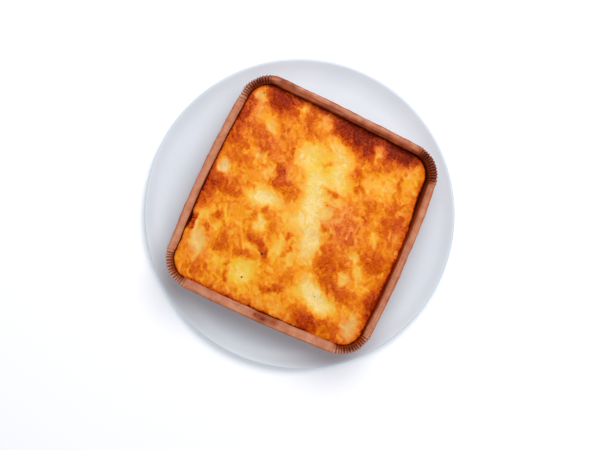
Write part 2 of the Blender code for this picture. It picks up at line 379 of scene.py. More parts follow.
tray = {
    "middle": (3.0, -1.5),
    "cornerCentres": ((55.6, 60.9), (-58.3, 62.5), (-57.8, -62.6), (60.0, -59.3)),
    "cornerRadius": 24.0,
    "sideBows": (0.6, 2.2, 1.2, 2.3),
    "paper": 0.9,
    "rimWidth": 5.4,
    "rimDepth": 4.4,
    "rollTurn": (-125, 180),
    "rollSquareness": (0.8, 0.7),
    "rimLeans": (1.6, 0.7, 2.2, 0.1),
    # painted shade with real stains: the roll's inner half is darker on the top and right sides, which turn
    # from the light
    "rimShadeAndStains": (1.25, 0.15, 0.2, 0.38),
    # how much darker each corner's roll is
    "cornerDarkness": (2.0, 0.85, 0.25, 0.65),
    "wallFlare": 3.8,
    "baseFillet": 2.6,
    "pleats": 16,
    "pleatDepth": 0.75,
    "pleatBands": ((-19, 19), (-13.5, 26), (-19, 19), (-19, 19)),
    "pleatPitch": 2.4,
    "rimGroove": 1.3,
    "pointsPerPleat": 12,
    "pointsPerSide": 144,
    "sideCrowding": 0.11,
    "headroom": 0.35,
}

# Fat and sauce on the rim: x, y, reach and how dark
rimMarks = (
    (-0.9, -81.6, 1.0, 1.2), (5.4, -82.3, 0.8, 1.0), (3, -80.4, 6, 0.8), (14, -80.8, 4, 0.7),
    (-49, 83.7, 2.5, 0.7), (-57, 84, 3, 0.6), (84, -30, 4, 0.4), (71, 76, 14, 0.4),
)

trayLow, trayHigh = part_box("baking_tray")
trayBottom = trayLow.z / mm
rimTop = trayHigh.z / mm
rimMiddle = rimTop - tray["rimDepth"] / 2
wallFoot = trayBottom + tray["paper"] + tray["baseFillet"]
middleX, middleY = tray["middle"]


def trayOutline(station, inside, bow, fold):
    # Stations 0 to 8 go anticlockwise: an even one starts a corner's arc, an odd one the bowed side after it.
    # Each point lies at the corner's radius, less the distance inside, along the outward direction.
    centres = np.array(tray["cornerCentres"])
    ahead = np.roll(centres, -1, axis=0) - centres
    normals = np.arctan2(-ahead[:, 0], ahead[:, 1])
    part = np.floor(station).astype(int) % 8
    share = station - np.floor(station)
    corner, onSide = part // 2, part % 2 == 1
    start = normals[corner - 1]
    turn = (normals[corner] - start) % (2 * np.pi)
    angle = np.where(onSide, normals[corner], start + turn * share)
    along = np.where(onSide, share, 0)
    swell = np.array(tray["sideBows"])[corner] * (4 * along * (1 - along))**1.2
    radius = tray["cornerRadius"] - inside + swell * bow + np.where(onSide, 0, fold)
    x = middleX + centres[corner, 0] + ahead[corner, 0] * along + radius * np.cos(angle)
    y = middleY + centres[corner, 1] + ahead[corner, 1] * along + radius * np.sin(angle)
    return x, y, np.cos(angle), np.sin(angle)


def squareFrom(x, y, placeX, placeY):
    # Squared distance from a place that is given from the tray's middle
    return (x - middleX - placeX)**2 + (y - middleY - placeY)**2


def wallInside(height):
    # How far inside the rim's outer line the wall's inner face is at that height
    return tray["rimWidth"] + tray["wallFlare"] * np.clip((rimMiddle - height) / (rimMiddle - wallFoot), 0, 1)


def wallShare(height):
    # 0 at the wall's foot and 1 at the rim
    return np.clip((height - wallFoot) / (rimMiddle - wallFoot), 0, 1)


def bakingPaper():
    # Brown greaseproof paper, rolled and crimped: dull, with short fibres, darker where fat soaked in, with
    # painted shade in its folds' grooves and on the roll's shaded sides, and a painted highlight on the
    # folds' crests
    material, tree, shader = startMaterial("rolled_baking_paper")
    place, soakAndShade, fold, crestHighlight = readSurface(tree, "soakAndShade", "fold", "crestHighlight")
    cloud = addNode(tree, "TexNoise", {"Vector": place, "Scale": 1 / 0.008, "Detail": 5.0, "Roughness": 0.6})
    fibre = addNode(tree, "TexNoise", {"Vector": place, "Scale": 1 / 0.0012, "Detail": 3.0, "Roughness": 0.7})
    tone = addNode(tree, "ValToRGB", {"Fac": cloud})
    setStops(tone, [(0.3, "#be6a45"), (0.5, "#d98f69"), (0.7, "#ecb190")])
    grain = addNode(tree, "ValToRGB", {"Fac": fibre})
    setStops(grain, [(0.3, "#d2c8c2"), (0.7, "#ffffff")])
    dry = addNode(tree, "MixRGB", {"Fac": 0.6, "Color1": tone, "Color2": grain}, blend_type="MULTIPLY")
    greasy = addNode(tree, "ValToRGB", {"Fac": cloud})
    setStops(greasy, [(0.3, "#681d05"), (0.7, "#b04c14")])
    edge = addNode(tree, "Math", {0: cloud, 1: 0.5}, operation="SUBTRACT")
    # grease soak together with painted shade on the roll
    soakAndShadeMix = addNode(tree, "Math", {0: edge, 1: 1.1, 2: soakAndShade}, operation="MULTIPLY_ADD", use_clamp=True)
    wall = addNode(tree, "MixRGB", {"Fac": soakAndShadeMix, "Color1": dry, "Color2": greasy})
    # painted shade in the grooves, together with the darkness of paper soaked right through
    grooveShadeAndSoak = addNode(tree, "MixRGB", {"Fac": fold, "Color1": wall, "Color2": toLinear("#4a180e")})
    # painted highlight on the pleats' crests
    paintedCrestLight = addNode(tree, "MixRGB", {"Fac": crestHighlight, "Color1": grooveShadeAndSoak, "Color2": toLinear("#e6c8bd")})
    rough = addNode(tree, "MapRange", {"Value": soakAndShadeMix, "To Min": 0.75, "To Max": 0.45})
    bump = addNode(tree, "Bump", {"Height": fibre, "Strength": 0.5, "Distance": 0.00025})
    setInputs(tree, shader, {
        "Base Color": paintedCrestLight, "Roughness": rough, "Normal": bump, "Specular IOR Level": 0.2,
    })
    return material


def sideValues(values, station):
    # A value for each side, passed on from one side to the next round the corner between them
    part, share = np.floor(station).astype(int) % 8, station - np.floor(station)
    values = np.array(values)
    own, before = values[part // 2], values[part // 2 - 1]
    return np.where(part % 2 == 1, own, before + (own - before) * smoothStep(share, 0, 1))


def squareOff(value, power):
    # Keeps the sign and lifts the size, which turns a circle's sine and cosine into a rounder square's
    return np.sign(value) * np.abs(value)**power


def traySection(lean):
    # From the middle of the base out, up the outer wall, round the roll and down the inside to the middle
    # again. Rows: distance inside the rim's outer line, height, share of the way out from the middle, roll,
    # inner side. The roll is an ellipse squared off a little, and it leans inwards over the wall.
    foot, fillet, paper = wallInside(wallFoot), tray["baseFillet"], tray["paper"]
    quarter = np.linspace(math.pi / 2, 0, 6)
    rising, falling = quarter[1:], quarter[::-1][1:]

    def rows(inside, height, out=1.0, roll=0.0, inner=0.0):
        count = max(np.size(part) for part in (height, out, roll, inner, inside[:, 0]))
        columns = [np.broadcast_to(part, count)[:, None] + 0 * lean for part in (height, out, roll, inner)]
        return [np.broadcast_to(inside, columns[0].shape)] + columns

    def column(values):
        return np.atleast_1d(values)[:, None]

    outerBase = rows(column(foot + fillet), trayBottom, np.array((0.05, 0.5, 0.93, 1.0)))
    outerFillet = rows(
        column(foot - paper + (fillet + paper) * (1 - np.cos(rising))),
        trayBottom + (fillet + paper) * (1 - np.sin(rising)),
    )
    climb = np.linspace(wallFoot, rimMiddle - tray["rimDepth"] / 2, 13)[1:]
    outerWall = rows(column(wallInside(climb) - paper), climb)
    turn = np.radians(np.linspace(*tray["rollTurn"], 28))
    width, (across, upright) = tray["rimWidth"] + lean, tray["rollSquareness"]
    roll = rows(
        width / 2 * (1 - squareOff(column(np.cos(turn)), across)),
        rimMiddle + tray["rimDepth"] / 2 * squareOff(np.sin(turn), upright),
        roll=1.0, inner=smoothStep(turn, 0.7, 2.5),
    )
    # the inner wall's rows lie close together under the roll, where the cheese meets it
    upper, lower = np.linspace(rimMiddle - 0.8, rimMiddle - 9, 11), np.linspace(rimMiddle - 12, wallFoot, 5)
    sink = np.concatenate((upper, lower))
    overhang = lean * np.exp(-column((rimMiddle - sink) / 2)**2)
    innerWall = rows(column(wallInside(sink)) + overhang, sink, inner=1.0)
    innerFillet = rows(
        column(foot + fillet * (1 - np.cos(falling))),
        trayBottom + paper + fillet * (1 - np.sin(falling)), inner=1.0,
    )
    innerBase = rows(column(foot + fillet), trayBottom + paper, np.array((0.93, 0.5, 0.05)), inner=1.0)
    parts = (outerBase, outerFillet, outerWall, roll, innerWall, innerFillet, innerBase)
    return [np.concatenate([part[k] for part in parts]) for k in range(5)]


def foldedBands(station):
    # How deep a groove crosses the roll, how much of a fold's crest there is and how much of a folded band,
    # at each place round it. Each band runs so many millimetres before and after its corner's middle.
    x, y, _, _ = trayOutline(station, 0 * station, 1, 0 * station)
    steps = np.hypot(np.roll(x, -1) - x, np.roll(y, -1) - y)
    walk, around = np.concatenate(([0], np.cumsum(steps)[:-1])), steps.sum()
    middles = np.interp((0.5, 2.5, 4.5, 6.5), station, walk)
    groove, crestHighlight, banded = 0 * station, 0 * station, 0 * station
    for middle, (first, last) in zip(middles, tray["pleatBands"]):
        local = (walk - middle + around / 2) % around - around / 2
        inBand = smoothStep(local, first - 2, first + 8) * (1 - smoothStep(local, last - 8, last + 2))
        drift = 0.4 * gradientNoise(local, 0 * local + middle, 5, 22)
        arch = np.abs(np.sin(np.pi * (local / tray["pleatPitch"] + drift)))
        groove += (1 - arch**1.1) * inBand
        crestHighlight += smoothStep(arch, 0.6, 0.95) * inBand
        banded += inBand
    return groove, crestHighlight, banded


def makeTray():
    # The section carried round the outline. At the corners the wall zigzags and grooves cross the roll.
    arc = np.arange(tray["pleats"] * tray["pointsPerPleat"]) / (tray["pleats"] * tray["pointsPerPleat"])
    along = np.arange(tray["pointsPerSide"]) / tray["pointsPerSide"]
    side = 1 + along - tray["sideCrowding"] * np.sin(2 * np.pi * along)
    station = np.concatenate([k + part for k in (0, 2, 4, 6) for part in (arc, side)])
    onArc = np.floor(station) % 2 == 0
    share = station - np.floor(station)
    walk = station * 40  # roughly in millimetres
    # pleats of uneven width and depth; between two grooves the paper bulges
    jitter = 0.45 * gradientNoise(walk, 0 * station + 3, 6, 21) * np.sin(np.pi * share)
    count = share * tray["pleats"] + jitter
    inPleat = count - np.floor(count)
    ends = smoothStep(share, 0, 0.05) * (1 - smoothStep(share, 0.95, 1))
    uneven = 0.8 + 0.5 * gradientNoise(np.round(count) * 7.3 + np.floor(station) * 31, 0 * station + 5, 3, 23)
    groove, crestHighlight, banded = foldedBands(station)
    groove = groove * uneven
    zigzag = np.where(onArc, np.abs(inPleat * 2 - 1) * 2 - 1, 0) * ends * tray["pleatDepth"] / 2
    corner = np.where(onArc, np.sin(np.pi * share), 0)
    lean = sideValues(tray["rimLeans"], station) * (1 - corner)
    lean = lean + np.where(onArc, 0, 0.5 * gradientNoise(walk, 0 * station, 7, 25))
    inside, height, out, roll, inner = traySection(np.clip(lean, 0, None)[None, :])
    walls = wallShare(height)
    places = station[None, :] + 0 * height
    x, y, nx, ny = trayOutline(places, inside, walls, zigzag[None, :] * walls * (1 - roll))
    # the roll is pinched along its own outward direction, towards its middle line
    upward = np.clip((height - rimMiddle) / (tray["rimDepth"] / 2), -1, 1) * roll
    outward = np.clip(1 - 2 * inside / tray["rimWidth"], -1, 1) * roll
    pinch = tray["rimGroove"] * groove * roll
    wrinkle = roughNoise(x + height * 0.8, y - height * 0.6, 14, 31) * (0.4 * roll + 0.3 * walls * (1 - roll))
    lengthwise = gradientNoise(places * 3, inside * 0.9 + height * 0.35, 1, 91) * roll
    crease = roughNoise(x * 2 + height, y * 2, 9, 35, 2) * 0.25 * roll + 0.3 * lengthwise
    push = (wrinkle + crease) * np.where(roll > 0, outward, 1) - pinch * outward
    x = middleX + (x + nx * push - middleX) * out
    y = middleY + (y + ny * push - middleY) * out
    lift = (wrinkle + crease - pinch) * upward - tray["headroom"] * roll * np.clip(upward, 0, 1)
    z = np.clip(height + lift, None, rimTop - tray["headroom"] / 2)
    poles = np.array(((middleX, middleY, trayBottom), (middleX, middleY, trayBottom + tray["paper"])))
    # painted shade with real stains for each side, strongest on the top and right, whose inner faces turn
    # from the light
    shadeAndStain = sideValues(tray["rimShadeAndStains"], station)
    # each corner's own darkness is blended in across its arc
    shadeAndStain = shadeAndStain + (np.repeat(tray["cornerDarkness"], 2)[np.floor(station).astype(int)] - shadeAndStain) * corner
    # painted shade in the grooves between pleats, deeper on the darker sides
    fold = smoothStep(groove, 0.1, 0.55) * np.clip(roll + 0.5 * walls, 0, 1)
    fold = fold * np.clip(0.38 + 0.42 * shadeAndStain, 0, 0.95)
    # painted highlight on the pleats' crests, on the roll's outer side, fainter where the roll is darker
    crestHighlight = crestHighlight * roll * (1 - inner)**3 * 0.7 * (1 - 0.85 * shadeAndStain)
    blotch = smoothStep(roughNoise(x, y, 9, 81), -0.2, 0.4)
    # the inside is soaked through, the outside a little towards its foot, the roll in blotches and streaks;
    # the roll's inner half also takes painted shade on the top and right
    soakAndShade = np.where(roll > 0, inner * (0.1 + 0.8 * shadeAndStain), inner) + 0.25 * (1 - walls) * (1 - inner)
    soakAndShade = soakAndShade + roll * (0.3 + 0.8 * shadeAndStain) * (0.3 * blotch + 0.3 * corner)
    soakAndShade = soakAndShade - 0.5 * lengthwise * (0.5 + shadeAndStain)
    # painted shade on the roll's outer edge, and the inner side of the corner bands darker
    soakAndShade = soakAndShade + roll * (0.45 * smoothStep(outward, 0.3, 1) + 0.4 * banded * inner)
    for markX, markY, reach, strength in rimMarks:
        soakAndShade = soakAndShade + roll * strength * np.exp(-squareFrom(x, y, markX, markY) / reach**2)
    # where the soak and painted shade pass 1, the paper is darkened as in a fold
    fold = fold + 0.55 * np.clip(soakAndShade - 1, 0, 1)
    quads, caps = closedGrid(len(height), len(station))
    looks = {"fold": (fold, (0, 0)), "soakAndShade": (soakAndShade, (0.25, 1)), "crestHighlight": (crestHighlight, (0, 0))}
    piece = addPiece(
        "paper_tray", np.concatenate((np.stack((x, y, z), axis=-1).reshape(-1, 3), poles)) * mm, quads, caps,
        bakingPaper(),
        {key: np.append(values + 0 * x, atPoles) for key, (values, atPoles) in looks.items()},
    )
    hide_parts("baking_tray")


# The lasagne

cheese = {
    "depth": 7.0,
    "crown": 1.0,
    "slope": (-1.2, -1.3),
    "half": 78.0,
    "headroom": 4.4,
    "headroomEase": 1.2,
    "edgeDrop": 0.9,
    "edgeDropChange": 0.4,
    "edgeRound": 1.5,
    "edgeLowest": 2.2,
    # painted shade and toasting along the food's very edge, where it meets the wall
    "edgeShadeAndToast": 0.2,
    "edgeShadeAndToastWidth": 0.8,
    "shrinkDepth": 12.0,
    "gap": 0.15,
    "cells": 300,
    "canvasHalf": 84.0,
    "canvasCell": 0.375,
    "flow": 125,
    "shreds": 520,
    "shredLength": (5, 13),
    "shredWidth": (1.3, 2.8),
    "blisters": 330,
    "bubbles": 1300,
}

# Where the cheese has shrunk from the wall: x, y, reach and how far
shrunkEdges = (
    (77, 52, 20, 2.9), (66, 70, 12, 0.8), (-76, -38, 6, 2.2), (-76, -56, 10, 0.8), (8, -79, 42, 1.6),
)

# Browned places, measured from the tray's middle: x, y, half length, half width, turn, browning and rise
browned = (
    (-52, 70, 9, 7, 0, 0.66, 1.2), (-38, 66, 3.5, 6, 35, 0.2, 0.5), (-26, 67, 4, 7, 20, 0.22, 0.6),
    (-20, 58, 5, 5, 0, 0.16, 0.4), (2, 71, 9, 6.5, 0, 0.6, 1.3), (18, 70, 12, 8, 0, 0.62, 1.5),
    (23, 61, 5, 6, 30, 0.27, 1.0), (47, 73, 11, 6, 0, 0.66, 1.4), (40, 63, 4, 6, 35, 0.24, 0.6),
    (-73, 55, 4, 13, 0, 0.42, 0.6), (-72, 34, 4, 7, 0, 0.28, 0.6), (-50, 39, 13, 6, -25, 0.21, 1.2),
    (-65, 46, 4, 5, 0, 0.16, 0.5), (-65, 30, 6, 5, 0, 0.18, 0.8), (-42, 54, 3, 9, 30, 0.2, 0.5),
    (-29, 40, 4, 8, 10, 0.22, 0.5), (-62, 19, 9, 6, 0, 0.18, 0.7), (-57, 3, 4, 2.5, 0, 0.18, 0.3),
    (-30, 23, 3.5, 5, 0, 0.4, 0.6), (-23, 14, 11, 5, -5, 0.27, 1.4), (-63, -4, 11, 5.5, -8, 0.34, 1.5),
    (-73, -12, 5, 12, 0, 0.34, 0.8), (24, 46, 3.5, 5, 25, 0.3, 1.0), (28, 37, 4, 4, 0, 0.18, 0.5),
    (35, 56, 5, 5, 30, 0.14, 0.8), (55, 53, 3, 6, 0, 0.16, 0.4), (73, 55, 4, 14, 0, 0.3, 0.4),
    (62, 38, 5, 4, 0, 0.16, 0.4), (13, 25.5, 7, 1.9, -5, 0.25, 0.4), (44, 28, 7, 3.5, 0, 0.17, 0.5),
    (43, 19, 3, 5, 25, 0.22, 0.5), (65, 25, 7, 6, 0, 0.26, 0.7), (57, 19, 5, 6, 0, 0.14, 0.5),
    (56, 33, 6, 2.5, -10, 0.18, 0.5), (31, 11, 10, 7, -5, 0.1, 1.8), (25, 0, 6, 6, 0, 0.09, 1.4),
    (17, -2, 3, 3, 0, 0.18, 0.4), (40, -2, 9, 8, 0, 0.11, 1.6), (62, 10, 6, 7, 0, 0.15, 0.5),
    (62, -9, 9, 7.5, -15, 0.34, 1.6), (29, -21, 6, 9, -10, 0.29, 1.7), (36, -32, 7, 9, 35, 0.25, 1.4),
    (42, -20, 5, 5, -20, 0.22, 0.9), (50, -41, 11, 4.8, -8, 0.27, 1.4), (74, -37, 6, 9, 0, 0.42, 1.0),
    (35, -71, 9, 6.5, 0, 0.52, 1.5), (52, -67, 8, 6, 0, 0.28, 1.3), (63, -77, 9, 4, 0, 0.3, 0.4),
    (-47, -44, 5, 7, -20, 0.26, 1.2), (-35, -63, 2.5, 9, 12, 0.2, 0.4), (-25, -31, 7, 3.2, -15, 0.32, 1.0),
    (-15, -38, 3.5, 6, 40, 0.34, 0.9), (-29, -44, 6, 2.6, 5, 0.28, 0.6), (-62, -38, 3, 3, 0, 0.22, 0.4),
    (-73.5, -38, 2.2, 6, 0, 0.45, 0.8), (-52, -66, 4, 5, 0, 0.12, 0.5), (-58, -70, 7, 3.5, 0, 0.18, 0.8),
    (2, -59, 9, 3, 18, 0.29, 1.0), (8, -47, 3, 6, -30, 0.12, 0.5), (25, -65, 6, 4, 0, 0.12, 0.4),
    (-3, -19, 2.2, 3, 0, 0.22, 0.3), (0.5, -27, 2.6, 2.2, 0, 0.22, 0.3), (-34, -17, 3, 4, 0, 0.14, 0.5),
    (-28, -8, 4, 2.5, 0, 0.2, 0.4), (-18, -18, 3, 5, 30, 0.14, 0.3), (-57, -26, 3, 3, 0, 0.24, 0.4),
    (-50, -34, 4, 3, 0, 0.1, 0.4), (0, 43, 4, 2, 30, 0.24, 0.2), (-46, 3, 4, 3, 0, 0.16, 0.3),
)

# Pale pools of sauce and melted cheese, laid out in the same way
pools = (
    (-13, 42, 10, 10, 10, -0.38, -1.4), (8, 48, 9, 9, 0, -0.3, -0.8), (12, 34, 10, 7, -12, -0.34, -1.0),
    (1, 61, 6, 6, 0, -0.24, -0.4), (-4, 27, 7, 8, 0, -0.36, -0.5), (2, 12, 8, 13, 0, -0.42, -1.2),
    (15, 9, 4, 5, 0, -0.22, -0.3), (19, 20, 4, 3, 0, -0.22, -0.2), (-33, 0, 13, 6, 6, -0.4, -1.0),
    (-38, 18, 3, 6, -10, -0.2, -0.3), (12, -14, 7, 16, 10, -0.38, -1.4), (-4, -6, 8, 7, 0, -0.26, -0.4),
    (4, -33, 3, 5, 0, -0.24, -0.3), (-70, 8, 4.5, 4, 0, -0.34, -0.4), (-64, -50, 4.5, 9, 20, -0.3, -0.8),
    (-48, -23, 10, 6, 0, -0.04, -0.5), (-70, -30, 5, 5, 0, -0.22, -0.3), (-27, -19, 5, 5, 0, -0.3, -0.3),
    (-27, -37, 3.5, 2.6, 0, -0.16, -0.2), (-8, -30, 4, 8, 0, -0.24, -0.4), (-24, -57, 9, 9, 0, -0.38, -1.3),
    (-43, -57, 5, 5, 0, -0.18, -0.3), (-55, -34, 3, 3, 0, -0.16, -0.2), (27, -46, 9, 6, -30, -0.34, -0.5),
    (38, -54, 12, 6, -12, -0.46, -1.3), (18, -54, 6, 4, 10, -0.18, -0.3), (67, -61, 5, 8, 0, -0.24, -0.8),
    (45, 51, 6, 7, 0, -0.09, -1.0), (36, 43, 6, 5, 0, -0.14, -0.4), (47, 42, 6, 4, 0, -0.13, -0.4),
    (62, 58, 4.5, 10, 0, -0.12, -0.6), (-66, 69, 5, 4, 0, -0.26, -0.6), (-58, 57, 5, 4, -40, -0.09, -0.3),
    (-50, 50, 3.5, 5, 25, -0.24, -0.3), (-14, 71, 3.5, 6, 0, -0.22, -0.4),
    (-33, 75, 3.5, 4.5, 0, -0.34, -0.4), (31, 69, 4, 4, 0, -0.34, -0.3), (-50, 28, 5, 3, 0, -0.14, -0.3),
    (56, 8, 3.5, 3.5, 0, -0.2, -0.3), (24, 7, 3, 3, 0, -0.14, -0.3), (55, -20, 6, 4, -55, -0.2, -0.4),
    (46, -31, 3.5, 5, 0, -0.24, -0.3), (47, -12, 3.5, 5, 0, -0.22, -0.3), (64, -29, 4, 3, 0, -0.14, -0.3),
    (-70.5, -40, 1, 5, 10, -0.2, 0), (5, -70, 8, 4, 0, -0.1, 0),
)

# Browned edges along the tray's sides, with painted shade of the walls' shadow, strongest on the right and
# top;
# for the right, top, left and bottom sides: how strong, and how far in
sideShadeAndBrowning = ((0.52, 3.0), (0.45, 4.0), (0.22, 2.2), (0.3, 1.6))

# Where the cheese is redder than elsewhere, laid out in the same way
rosyPlaces = (
    (-48, 38, 15, 9, -20, 0.6, 0), (29, 8, 13, 13, 0, 0.8, 0), (36, -4, 10, 9, 0, 0.5, 0),
    (18, 74, 34, 8, 0, 0.9, 0), (46, 72, 12, 8, 0, 0.8, 0), (-26, 22, 7, 9, 0, 0.6, 0),
    (68, 22, 7, 14, 0, 0.6, 0), (-70, 50, 6, 14, 0, 0.5, 0), (-65, 66, 8, 8, 0, 0.5, 0),
    (-70, 8, 6, 6, 0, 0.6, 0), (-64, -52, 8, 12, 20, 0.6, 0), (67, -63, 8, 11, 0, 0.9, 0),
    (12, -20, 6, 10, 0, 0.3, 0), (46, -36, 10, 9, 0, 0.3, 0), (-73, -10, 5, 16, 0, 0.4, 0),
    (10, -76, 50, 4, 0, 0.3, 0),
)

# Where it is yellower, laid out in the same way
butteryPlaces = (
    (-3, 42, 9, 8, 0, 1.1, 0), (-5, 26, 8, 9, 0, 0.5, 0), (-22, -57, 12, 11, 0, 0.9, 0),
    (-8, -34, 7, 12, 0, 0.5, 0), (62, 58, 8, 13, 0, 0.5, 0), (-50, -25, 14, 10, 0, 0.4, 0),
    (20, 36, 12, 6, 0, 0.4, 0), (8, -55, 16, 10, 0, 0.4, 0), (-42, -58, 8, 12, 0, 0.5, 0),
    (44, -55, 10, 5, 0, 0.3, 0),
)

# Coarse pepper on the cheese: x, y, size
specks = (
    (-66.5, 70.9, 0.9), (12.3, 15.0, 0.7), (-15.9, -38.5, 1.5), (-37.1, -57.2, 0.8), (-22.1, -60.8, 1.1),
    (33.5, -51.0, 0.6), (64.5, 39.5, 0.8), (56.0, 22.0, 0.6), (-38.5, 54.0, 0.5), (-57.0, -26.5, 0.6),
)


def bakedCheese():
    # Grated cheese melted and grilled: cream where it pooled, golden and orange where it set, red-brown where
    # it crisped. A film of fat gives small soft lights, and light goes a little way in.
    material, tree, shader = startMaterial("grilled_cheese")
    place, browning, rosy, buttery = readSurface(tree, "browning", "rosy", "buttery")
    grain = addNode(tree, "TexNoise", {
        "Vector": place, "Scale": 1 / 0.0012, "Detail": 4.0, "Roughness": 0.65,
    })
    centred = addNode(tree, "Math", {0: grain, 1: 0.5}, operation="SUBTRACT")
    baked = addNode(
        tree, "Math", {0: centred, 1: 0.22, 2: browning}, operation="MULTIPLY_ADD", use_clamp=True,
    )
    golden, ruddy, butter = (addNode(tree, "ValToRGB", {"Fac": baked}) for _ in range(3))
    setStops(golden, [
        (0.00, "#f7dc98"), (0.04, "#f3cb70"), (0.10, "#f3bc50"), (0.18, "#f5af3a"), (0.28, "#f5a029"),
        (0.38, "#f2931c"), (0.48, "#ee8a16"), (0.58, "#e97e0d"), (0.68, "#e27209"), (0.78, "#d86506"),
        (0.86, "#cf5703"), (0.92, "#c84a02"), (0.965, "#ae3502"), (1.00, "#841d03"),
    ])
    setStops(ruddy, [
        (0.00, "#eac592"), (0.10, "#e4b26c"), (0.25, "#e89b4a"), (0.40, "#ee8f3e"), (0.55, "#e97b30"),
        (0.68, "#df6922"), (0.80, "#cf561a"), (0.90, "#bb4412"), (0.96, "#992d09"), (1.00, "#6e1604"),
    ])
    setStops(butter, [
        (0.00, "#f0ca54"), (0.10, "#f0b934"), (0.25, "#f2a516"), (0.45, "#ed9008"), (0.65, "#e27505"),
        (0.85, "#cb5804"), (1.00, "#701c04"),
    ])
    red = addNode(tree, "MixRGB", {"Fac": rosy, "Color1": golden, "Color2": ruddy})
    colour = addNode(tree, "MixRGB", {"Fac": buttery, "Color1": red, "Color2": butter})
    gloss = addNode(tree, "MapRange", {
        "Value": baked, "From Min": 0.1, "From Max": 0.9, "To Min": 0.28, "To Max": 0.4,
    })
    bump = addNode(tree, "Bump", {"Height": grain, "Strength": 0.16, "Distance": 0.0003})
    setInputs(tree, shader, {
        "Base Color": colour, "Roughness": gloss, "Normal": bump, "Specular IOR Level": 0.04,
        "Subsurface Weight": 0.06, "Subsurface Radius": (1.0, 0.35, 0.1), "Subsurface Scale": 0.001,
    })
    return material


def sumOfBumps(x, y, forms, sharpness):
    # Each form is a bell over its own turned ellipse; more sharpness gives a flatter top and a steeper edge
    brown, rise = np.zeros_like(x), np.zeros_like(x)
    for cx, cy, halfLength, halfWidth, turn, strength, height in forms:
        c, s = math.cos(math.radians(turn)), math.sin(math.radians(turn))
        along = ((x - cx) * c + (y - cy) * s) / halfLength
        across = ((y - cy) * c - (x - cx) * s) / halfWidth
        square = along * along + across * across
        brown += strength * np.exp(-(0.75 * square)**sharpness)
        rise += height * np.exp(-1.2 * square)
    return brown, rise


def makeCanvas():
    # A flat sheet of cells over the tray, on which the cheese's pattern is laid out
    side = np.arange(-cheese["canvasHalf"], cheese["canvasHalf"] + cheese["canvasCell"], cheese["canvasCell"])
    return np.meshgrid(side, side)


def toCells(value):
    # Millimetres from the tray's middle to rows or columns of the canvas
    return (value + cheese["canvasHalf"]) / cheese["canvasCell"]


def readCanvas(field, x, y):
    # The canvas's value at any places, blended from the four cells round each
    last = field.shape[0] - 2
    column, row = np.clip(toCells(x), 0, last), np.clip(toCells(y), 0, last)
    i, j = np.floor(row).astype(int), np.floor(column).astype(int)
    v, u = row - i, column - j
    low = field[i, j] * (1 - u) + field[i, j + 1] * u
    high = field[i + 1, j] * (1 - u) + field[i + 1, j + 1] * u
    return low * (1 - v) + high * v


def windowOf(cx, cy, reach):
    # The canvas's rows and columns within reach of a place, as slices
    row, column, span = toCells(cy), toCells(cx), reach / cheese["canvasCell"] + 2
    return tuple(slice(max(0, int(middle - span)), int(middle + span)) for middle in (row, column))


def drawOut(field, angle):
    # Every cell is added to the two next to it along its angle; the sums get a mean of 0 and a deviation of 1
    last = field.shape[0] - 1
    rows, columns = np.indices(field.shape)
    total = field.copy()
    for sign in (1, -1):
        i = np.clip(np.rint(rows + sign * np.sin(angle)), 0, last).astype(int)
        j = np.clip(np.rint(columns + sign * np.cos(angle)), 0, last).astype(int)
        total += field[i, j]
    return (total - total.mean()) / total.std()


def shareOf(values, inside):
    # For every value, the share of the values inside that are lower
    order = np.sort(values[inside])
    return np.searchsorted(order, values) / len(order)


def layShreds(x, y, flow):
    # Grated shreds along the flow, dropped one on another; each is a bent bar with a round back and its tone
    rng = np.random.default_rng(5)
    pile, shade = np.zeros_like(x), np.zeros_like(x)
    for _ in range(cheese["shreds"]):
        cx, cy = rng.uniform(-cheese["half"], cheese["half"], 2)
        length, width = rng.uniform(*cheese["shredLength"]) / 2, rng.uniform(*cheese["shredWidth"]) / 2
        turn = readCanvas(flow, cx, cy) + rng.normal(0, 0.35)
        bend, level, tone = rng.normal(0, 0.03), rng.uniform(0, 0.6), rng.uniform(-1, 1)
        window = windowOf(cx, cy, length)
        dx, dy = x[window] - cx, y[window] - cy
        along = dx * math.cos(turn) + dy * math.sin(turn)
        across = dy * math.cos(turn) - dx * math.sin(turn) - bend * along * along
        body = np.sqrt(np.clip(1 - (across / width)**2 - (along / length)**4, 0, 1))
        top = (level + body) / 1.6
        covers = (body > 0) & (top > pile[window])
        pile[window] = np.where(covers, top, pile[window])
        shade[window] = np.where(covers, tone * np.clip(body * 1.6, 0, 1), shade[window])
    return pile, shade


def raiseBlisters(x, y, count, reaches, seed):
    # Round blisters, each a dome with a toasted top and a pale ring round its foot
    rng = np.random.default_rng(seed)
    spread = cheese["half"] - 1
    dome, toast = np.zeros_like(x), np.zeros_like(x)
    for _ in range(count):
        cx, cy = rng.uniform(-spread, spread, 2)
        reach, squeeze, turn = rng.uniform(*reaches), rng.uniform(0.6, 1), rng.uniform(0, np.pi)
        strength = rng.uniform(-0.3, 1)
        window = windowOf(cx, cy, reach * 2)
        dx, dy = x[window] - cx, y[window] - cy
        along = dx * math.cos(turn) + dy * math.sin(turn)
        across = (dy * math.cos(turn) - dx * math.sin(turn)) / squeeze
        square = (along * along + across * across) / reach**2
        toast[window] += strength * (1 - 1.3 * square) * np.exp(-1.1 * square)
        dome[window] = np.maximum(dome[window], abs(strength) * np.sqrt(np.clip(1 - square, 0, 1)))
    return dome, toast


